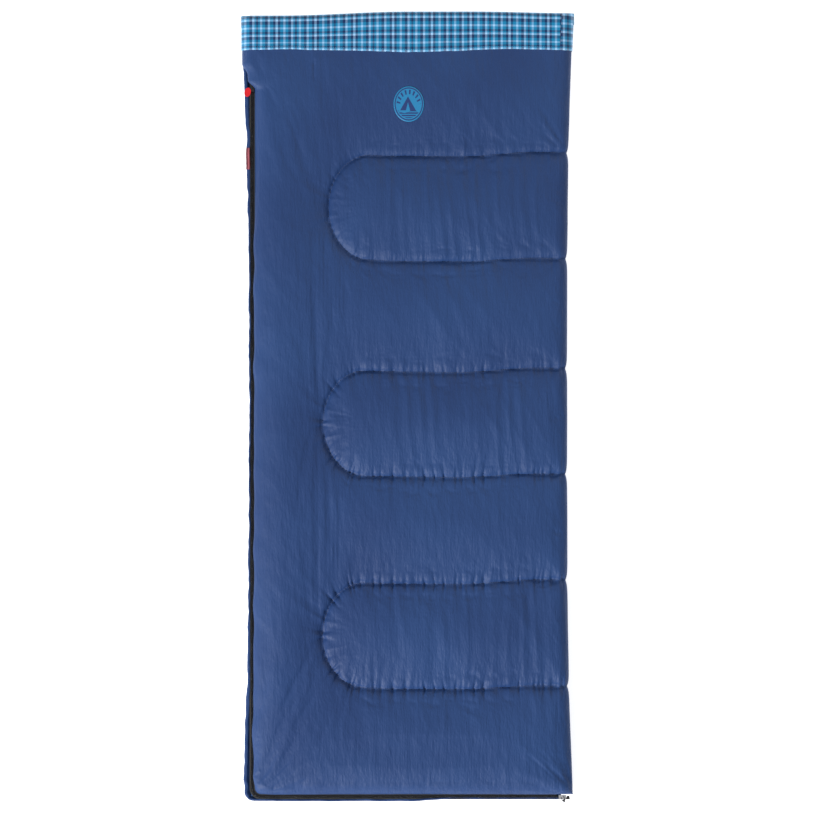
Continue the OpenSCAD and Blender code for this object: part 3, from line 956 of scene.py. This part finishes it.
# %% Helpers for materials
def linear(hex_code):
    """An sRGB hex colour as linear red, green, blue and a full alpha."""
    out = []
    for k in (0, 2, 4):
        v = int(hex_code[k:k + 2], 16) / 255
        out.append(v / 12.92 if v <= 0.04045 else ((v + 0.055) / 1.055) ** 2.4)
    return (*out, 1.0)


def add(material, kind, inputs=None, **settings):
    """Add a node. inputs maps a socket's name or number to a value or to another node's output."""
    node = material.node_tree.nodes.new(kind)
    for key, value in settings.items():
        setattr(node, key, value)
    for key, value in (inputs or {}).items():
        if isinstance(value, bpy.types.NodeSocket):
            material.node_tree.links.new(value, node.inputs[key])
        else:
            node.inputs[key].default_value = value
    return node


def new_material(name, **values):
    """A material and its shader, with the values that are the same all over."""
    material = bpy.data.materials.new(name)
    material.use_nodes = True
    shader = material.node_tree.nodes["Principled BSDF"]
    for key, value in values.items():
        shader.inputs[key.replace("_", " ").title().replace("Ior", "IOR")].default_value = value
    return material, shader


def join_up(material, shader, socket, output):
    material.node_tree.links.new(output, shader.inputs[socket])


def math_node(material, operation, a, b=0.0):
    """One sum on two values or outputs."""
    return add(material, "ShaderNodeMath", {0: a, 1: b}, operation=operation).outputs[0]


def bump(material, shader, height, depth, strength=1.0, after=None):
    """Raise the surface by a height from 0 to 1, depth metres tall."""
    sockets = {"Height": height, "Distance": depth, "Strength": strength}
    if after is not None:
        sockets["Normal"] = after
    node = add(material, "ShaderNodeBump", sockets)
    join_up(material, shader, "Normal", node.outputs[0])
    return node.outputs[0]


# %% [markdown]
# The shell is polyester taffeta with a calendered, satin face: deep blue, a soft wide highlight,
# and a faint sheen where the filaments catch light edge on. Its threads are 0.15 mm apart, too
# fine to show, so the weave is drawn at 0.9 mm. Short creases a few millimetres wide lie between
# the modelled pleats, and the dye looks a little uneven where the cloth has been pressed in a sack.

# %% Satin taffeta for the shell
satin, satin_shader = new_material(
    "calendered_polyester_taffeta", base_color=linear("213B69"), roughness=0.55,
    sheen_weight=0.03, sheen_roughness=0.45, specular_ior_level=0.25)
satin_shader.inputs["Sheen Tint"].default_value = linear("8FA6D8")
place = add(satin, "ShaderNodeTexCoord").outputs["Object"]
dye = add(satin, "ShaderNodeTexNoise", {"Vector": place, "Scale": 3.2, "Detail": 3.0})
shade = add(satin, "ShaderNodeValToRGB", {"Fac": dye.outputs[0]})
shade.color_ramp.elements[0].position, shade.color_ramp.elements[1].position = 0.3, 0.72
shade.color_ramp.elements[0].color = linear("1E3663")
shade.color_ramp.elements[1].color = linear("24406F")
join_up(satin, satin_shader, "Base Color", shade.outputs[0])
drawn = add(satin, "ShaderNodeMapping", {"Vector": place, "Scale": (210.0, 26.0, 60.0)})
creases = add(satin, "ShaderNodeTexNoise", {"Vector": drawn.outputs[0], "Scale": 1.0, "Detail": 3.0,
                                            "Roughness": 0.55})
crossed = add(satin, "ShaderNodeMapping",
              {"Vector": place, "Rotation": (0.0, 0.0, 0.6), "Scale": (60.0, 24.0, 60.0)})
crumple = add(satin, "ShaderNodeTexNoise", {"Vector": crossed.outputs[0], "Scale": 1.0, "Detail": 4.0,
                                            "Roughness": 0.6})
first = bump(satin, satin_shader, creases.outputs[0], 0.0016, 0.6)
second = bump(satin, satin_shader, crumple.outputs[0], 0.0040, 0.6, first)
weave_u = add(satin, "ShaderNodeTexWave", {"Vector": place, "Scale": 350.0}, bands_direction="X")
weave_v = add(satin, "ShaderNodeTexWave", {"Vector": place, "Scale": 350.0}, bands_direction="Y")
weave = math_node(satin, "MAXIMUM", weave_u.outputs["Fac"], weave_v.outputs["Fac"])
bump(satin, satin_shader, weave, 0.00005, 0.4, second)

# %% [markdown]
# The band and the lining are one brushed cotton-feel cloth, yarn-dyed: light blue, teal and navy
# yarns lie in the same order in the warp and the weft. Where light crosses light the square is
# pale, where navy crosses navy it is dark, and a crossing of two colours is deeper than their
# average, because each yarn shades the other. So half of the colour is a stripe across times a
# stripe along, and half is their average, as seen from afar. The stripes repeat every 93 mm across
# and 41 mm along.


# %% Yarn-dyed plaid for the band and the lining
def stripes(material, coordinate, repeat, bands):
    """Yarn colours in bands, given as (start share, colour), repeated every so many metres."""
    turns = math_node(material, "DIVIDE", coordinate, repeat)
    share = math_node(material, "FRACT", turns)
    ramp = add(material, "ShaderNodeValToRGB", {"Fac": share})
    ramp.color_ramp.interpolation = "LINEAR"
    elements = ramp.color_ramp.elements
    soft = 0.00035 / repeat
    stops = []
    for k, (begin, colour) in enumerate(bands):
        end = bands[k + 1][0] if k + 1 < len(bands) else 1.0
        stops += [(begin + soft, colour), (end - soft, colour)]
    elements[0].position, elements[0].color = stops[0][0], linear(stops[0][1])
    elements[1].position, elements[1].color = stops[-1][0], linear(stops[-1][1])
    for position, colour in stops[1:-1]:
        elements.new(position).color = linear(colour)
    return ramp.outputs[0]


SKY, TEAL, NAVY = "B0D4F0", "0892BC", "08396E"
REPEAT_ACROSS, REPEAT_ALONG = 0.093, 0.041
plaid, plaid_shader = new_material("brushed_yarn_dyed_plaid", roughness=0.86, sheen_weight=0.35,
                                   sheen_roughness=0.5, specular_ior_level=0.2)
cut_map = add(plaid, "ShaderNodeUVMap", uv_map="cut").outputs[0]
cut_x, cut_y = (add(plaid, "ShaderNodeSeparateXYZ", {0: cut_map}).outputs[k] for k in (0, 1))
warp_bands = [(0.00, SKY), (0.055, TEAL), (0.10, NAVY), (0.15, TEAL), (0.20, SKY), (0.255, TEAL),
              (0.33, NAVY), (0.40, SKY), (0.455, TEAL), (0.54, NAVY), (0.60, SKY), (0.66, NAVY),
              (0.72, TEAL), (0.80, SKY), (0.855, TEAL), (0.93, NAVY)]
weft_bands = [(0.00, SKY), (0.12, TEAL), (0.20, NAVY), (0.33, TEAL), (0.50, SKY), (0.62, TEAL), (0.80, NAVY)]
warp = stripes(plaid, cut_x, REPEAT_ACROSS, warp_bands)
weft = stripes(plaid, cut_y, REPEAT_ALONG, weft_bands)
diagonal = math_node(plaid, "ADD", cut_x, cut_y)
twill = math_node(plaid, "SINE", math_node(plaid, "MULTIPLY", diagonal, 2 * math.pi / 0.0016))
over = math_node(plaid, "ADD", math_node(plaid, "MULTIPLY", twill, 0.04), 0.96)
crossed = add(plaid, "ShaderNodeMix", {"Factor": over}, data_type="RGBA", blend_type="MULTIPLY")
beside = add(plaid, "ShaderNodeMix", {"Factor": 0.5}, data_type="RGBA", blend_type="MIX")
for mix in (crossed, beside):
    plaid.node_tree.links.new(warp, mix.inputs[6])
    plaid.node_tree.links.new(weft, mix.inputs[7])
mixed = add(plaid, "ShaderNodeMix", {"Factor": 0.5}, data_type="RGBA", blend_type="MIX")
plaid.node_tree.links.new(crossed.outputs[2], mixed.inputs[6])
plaid.node_tree.links.new(beside.outputs[2], mixed.inputs[7])
join_up(plaid, plaid_shader, "Base Color", mixed.outputs[2])
nap = add(plaid, "ShaderNodeTexNoise", {"Vector": cut_map, "Scale": 900.0, "Detail": 3.0})
raised = bump(plaid, plaid_shader, nap.outputs[0], 0.0004, 0.5)
bump(plaid, plaid_shader, over, 0.0003, 0.35, raised)

# %% [markdown]
# The zip is nylon: a woven tape with ribs 0.6 mm apart, and teeth that are one coil of stiff
# nylon thread per side. The sliders are die-cast zinc, one enamelled black and one plated, and the
# grip is moulded ABS in bright red. Each small part gets fine marks at the size such parts have.

# %% Materials of the zip and the trimmings
tape_cloth, tape_shader = new_material("woven_polyester_tape", base_color=linear("14161C"),
                                       roughness=0.78, sheen_weight=0.3)
tape_map = add(tape_cloth, "ShaderNodeUVMap", uv_map="cut").outputs[0]
tape_x, tape_y = (add(tape_cloth, "ShaderNodeSeparateXYZ", {0: tape_map}).outputs[k] for k in (0, 1))
herringbone = math_node(tape_cloth, "PINGPONG", tape_x, 0.0015)
ribs = math_node(tape_cloth, "SINE", math_node(
    tape_cloth, "MULTIPLY", math_node(tape_cloth, "ADD", herringbone, tape_y), 2 * math.pi / 0.0009))
bump(tape_cloth, tape_shader, ribs, 0.0002, 0.6)
# The tape's colour follows its ribs: painted shade darkens the grooves between them, and the rib tops are
# painted lighter.
rib_shade_tone = add(tape_cloth, "ShaderNodeMapRange", {0: ribs, 1: -1.0, 2: 1.0, 3: 0.006, 4: 0.016})
join_up(tape_cloth, tape_shader, "Base Color", rib_shade_tone.outputs[0])


def speckled(name, colour, scale, depth, spread=0.08, **values):
    """A moulded or cast material: one colour with fine uneven gloss and a faint grain."""
    material, shader = new_material(name, base_color=linear(colour), **values)
    where = add(material, "ShaderNodeTexCoord").outputs["Object"]
    grain = add(material, "ShaderNodeTexNoise", {"Vector": where, "Scale": scale, "Detail": 4.0})
    low = max(0.02, values.get("roughness", 0.5) - spread)
    gloss = add(material, "ShaderNodeMapRange", {0: grain.outputs[0], 1: 0.3, 2: 0.7, 3: low,
                                                 4: low + 2 * spread})
    join_up(material, shader, "Roughness", gloss.outputs[0])
    bump(material, shader, grain.outputs[0], depth, 0.5)
    return material


nylon = speckled("drawn_nylon_coil", "17181D", 2600.0, 0.00004, roughness=0.36, coat_weight=0.15)
black_zinc = speckled("enamelled_zinc_casting", "1B1C20", 1500.0, 0.00005, roughness=0.30, coat_weight=0.6)
plated_zinc = speckled("nickel_plated_zinc", "E6E7EA", 1800.0, 0.00003, roughness=0.32, metallic=1.0)
red_abs = speckled("moulded_red_abs", "D3121F", 1200.0, 0.00005, roughness=0.34, coat_weight=0.3)
black_abs = speckled("moulded_black_acetal", "15161A", 1200.0, 0.00005, roughness=0.38, coat_weight=0.1)
thread = speckled("bonded_polyester_thread", "1D2F55", 3000.0, 0.00006, roughness=0.55, sheen_weight=0.3)
band_thread = speckled("pale_sewing_thread", "5E9BC4", 3000.0, 0.00006, roughness=0.55, sheen_weight=0.3)

# %% [markdown]
# The label is a jacquard ribbon: red, with one pale woven stripe down its middle and no lettering.

# %% Woven ribbon for the label
ribbon, ribbon_shader = new_material("jacquard_ribbon", roughness=0.6, sheen_weight=0.4)
ribbon_map = add(ribbon, "ShaderNodeUVMap", uv_map="cut").outputs[0]
ribbon_x, ribbon_y = (add(ribbon, "ShaderNodeSeparateXYZ", {0: ribbon_map}).outputs[k] for k in (0, 1))
ribbon_band = stripes(ribbon, ribbon_x, 0.0100, [(0.0, "6E1626"), (0.46, "A8525E"), (0.70, "6E1626")])
join_up(ribbon, ribbon_shader, "Base Color", ribbon_band)
picks = math_node(ribbon, "SINE", math_node(ribbon, "MULTIPLY", ribbon_y, 2 * math.pi / 0.0008))
bump(ribbon, ribbon_shader, picks, 0.00015, 0.6)

# %% [markdown]
# The badge is screen-printed in two inks on a matt film: sky blue, and navy for the rim, the rays,
# the hills and the tent. The motif is drawn with sums on the disc's own map, where the rim is at 1.

# %% Two-colour screen print
ink, ink_shader = new_material("two_colour_screen_print", roughness=0.5, specular_ior_level=0.35)
disc = add(ink, "ShaderNodeUVMap", uv_map="cut").outputs[0]
disc_parts = add(ink, "ShaderNodeSeparateXYZ", {0: disc})
du, dv = disc_parts.outputs[0], disc_parts.outputs[1]
radius = add(ink, "ShaderNodeVectorMath", {0: disc}, operation="LENGTH").outputs["Value"]


def above(value, limit):
    return math_node(ink, "GREATER_THAN", value, limit)


def both(a, b):
    return math_node(ink, "MULTIPLY", a, b)


def either(a, b):
    return math_node(ink, "MAXIMUM", a, b)


rim_line = both(above(radius, 0.86), math_node(ink, "LESS_THAN", radius, 0.93))
angle = math_node(ink, "ARCTAN2", math_node(ink, "ADD", dv, 0.1), du)
spokes = above(math_node(ink, "SINE", math_node(ink, "MULTIPLY", angle, 18.0)), 0.35)
ray_zone = both(above(radius, 0.55), math_node(ink, "LESS_THAN", radius, 0.80))
rays = both(both(spokes, ray_zone), above(dv, 0.0))
slope_left = math_node(ink, "ABSOLUTE", math_node(ink, "ADD", du, 0.05))
tent = both(above(math_node(ink, "SUBTRACT", 0.42, math_node(ink, "ADD", dv, math_node(
    ink, "MULTIPLY", slope_left, 1.5))), 0.0), above(dv, -0.36))
door = above(math_node(ink, "SUBTRACT", 0.10, math_node(ink, "ADD", dv, math_node(
    ink, "MULTIPLY", slope_left, 3.4))), 0.0)
tent_only = both(tent, math_node(ink, "SUBTRACT", 1.0, door))
hill_wave = math_node(ink, "MULTIPLY", math_node(ink, "SINE", math_node(ink, "MULTIPLY", du, 5.5)), 0.09)
hills = both(math_node(ink, "LESS_THAN", dv, math_node(ink, "SUBTRACT", hill_wave, 0.42)),
             math_node(ink, "LESS_THAN", radius, 0.80))
stripe_gap = above(math_node(ink, "SINE", math_node(ink, "MULTIPLY", dv, 46.0)), -0.3)
navy_ink = either(either(rim_line, rays), either(tent_only, both(hills, stripe_gap)))
inks = add(ink, "ShaderNodeMix", {"Factor": navy_ink}, data_type="RGBA")
inks.inputs[6].default_value, inks.inputs[7].default_value = linear("2278A8"), linear("20376A")
join_up(ink, ink_shader, "Base Color", inks.outputs[2])
mesh_marks = add(ink, "ShaderNodeTexNoise", {"Vector": disc, "Scale": 90.0, "Detail": 2.0})
bump(ink, ink_shader, mesh_marks.outputs[0], 0.00015, 0.4)

# %% [markdown]
# Each piece now gets its finish, rides on its CAD body where it has one, and hides the CAD nodes it stands
# for.
# The quilts stand for the wadding too, because it is closed up inside them.


# %% Dress every piece
def finish(piece, body, material, slot, *nodes):
    """Give a piece its material and its body, and hide the CAD nodes it stands for. Its slot is not used.
    The fold's pieces have no one body, because they bend between two."""
    piece.data.materials.clear()
    piece.data.materials.append(material)
    if body:
        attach(piece, body)
    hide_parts(*nodes)
    return piece


def soft_fold(piece):
    """Move a piece's place and turn into its mesh, leaving it on no body."""
    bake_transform(piece)


finish(upper_quilt, "upper_panel", satin, "shell", "upper_shell", "upper_fill",
       "upper_side_facing", "upper_foot_facing")
finish(lower_quilt, "lower_panel", satin, "shell", "lower_shell", "lower_fill",
       "lower_side_facing", "lower_foot_facing")
finish(fold_quilt, None, satin, "shell", "fold_shell", "fold_fill")
finish(upper_liner, "upper_panel", plaid, "lining", "upper_liner")
finish(lower_liner, "lower_panel", plaid, "lining", "lower_liner")
finish(fold_liner, None, plaid, "lining", "fold_liner")
finish(upper_cuff, "upper_panel", plaid, "plaid", "upper_cuff")
finish(lower_cuff, "lower_panel", plaid, "plaid", "lower_cuff")
finish(fold_cuff, None, plaid, "plaid", "fold_cuff")
finish(upper_quilt_stitches, "upper_panel", thread, "thread", "upper_quilt_stitches")
finish(lower_quilt_stitches, "lower_panel", thread, "thread", "lower_quilt_stitches")
finish(cuff_stitches, "upper_panel", band_thread, "thread", "cuff_stitches")
finish(lower_zip_tape, "lower_panel", tape_cloth, "zip_tape", "lower_zip_tape")
finish(upper_zip_tape, "upper_panel", tape_cloth, "zip_tape", "upper_zip_tape")
finish(lower_zip_coil, "lower_panel", nylon, "zip_teeth", "lower_zip_coil")
finish(upper_zip_coil, "upper_panel", nylon, "zip_teeth", "upper_zip_coil")
finish(side_label, "lower_panel", ribbon, "label", "side_label")
finish(badge_print, "upper_panel", ink, "print", "badge_print")
finish(head_pull_grip, "head_pull", red_abs, "red_plastic", "head_pull_grip")
for piece in (fold_quilt, fold_liner, fold_cuff):
    soft_fold(piece)

# %% [markdown]
# The small hard parts of the zip have their true shape in the CAD model already, so those stay
# and only get their finish.

# %% Finish the hard parts
for node, material in (("head_slider_body", black_zinc), ("head_slider_bridge", black_zinc),
                       ("head_pull_loop", black_zinc), ("foot_slider_body", plated_zinc),
                       ("foot_slider_bridge", plated_zinc), ("foot_pull_link", black_zinc),
                       ("foot_pull_ring", plated_zinc), ("lower_top_stop", black_zinc),
                       ("retainer_box", black_abs), ("insertion_pin", black_abs)):
    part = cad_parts[node]
    part.data.materials.clear()
    part.data.materials.append(material)
print("hard parts finished")

# %% [markdown]
# The bag lies on a pale floor, and is seen from straight above with a long lens, so there is
# almost no perspective. Two wide soft lights and a bright surround give the even light of a
# studio, with just enough direction from the foot end to show the pleats. The plain view transform
# keeps dyed colours as they were mixed.

# %% Floor, camera and light
clear_selection()
bpy.ops.mesh.primitive_plane_add(size=14, location=(0, 0, -0.0006))
floor = place_in_mesh(bpy.context.object)
name_it(floor, "floor")
paper, paper_shader = new_material("matt_white_paper", base_color=linear("FBFBFB"), roughness=0.9,
                                   emission_color=linear("FFFFFF"), emission_strength=0.6)
grain_place = add(paper, "ShaderNodeTexCoord").outputs["Object"]
grain = add(paper, "ShaderNodeTexNoise", {"Vector": grain_place, "Scale": 400.0, "Detail": 2.0})
bump(paper, paper_shader, grain.outputs[0], 0.0001, 0.2)
floor.data.materials.append(paper)

camera_data = bpy.data.cameras.new("camera")
camera = bpy.data.objects.new("camera", camera_data)
bpy.context.scene.collection.objects.link(camera)
camera.location = (0, 0, 8)
camera_data.sensor_width = 36
camera_data.lens = 36 * 7.97 / (815 * 0.002405)
bpy.context.scene.camera = camera


def soft_light(name, place, aim, size, power):
    """A square soft light that looks at a place."""
    data = bpy.data.lights.new(name, "AREA")
    data.size, data.energy = size, power
    lamp = bpy.data.objects.new(name, data)
    bpy.context.scene.collection.objects.link(lamp)
    lamp.location = place
    lamp.rotation_euler = (Vector(aim) - Vector(place)).to_track_quat("-Z", "Y").to_euler()
    return lamp


soft_light("key", (-4.4, -4.6, 3.9), (0, 0, 0), 2.4, 820)
soft_light("fill", (3.0, 3.6, 4.0), (0, 0, 0), 3.0, 110)
world = bpy.data.worlds.new("studio")
world.use_nodes = True
world.node_tree.nodes["Background"].inputs[0].default_value = (1, 1, 1, 1)
world.node_tree.nodes["Background"].inputs[1].default_value = 0.36
bpy.context.scene.world = world
bpy.context.scene.view_settings.view_transform = "Standard"
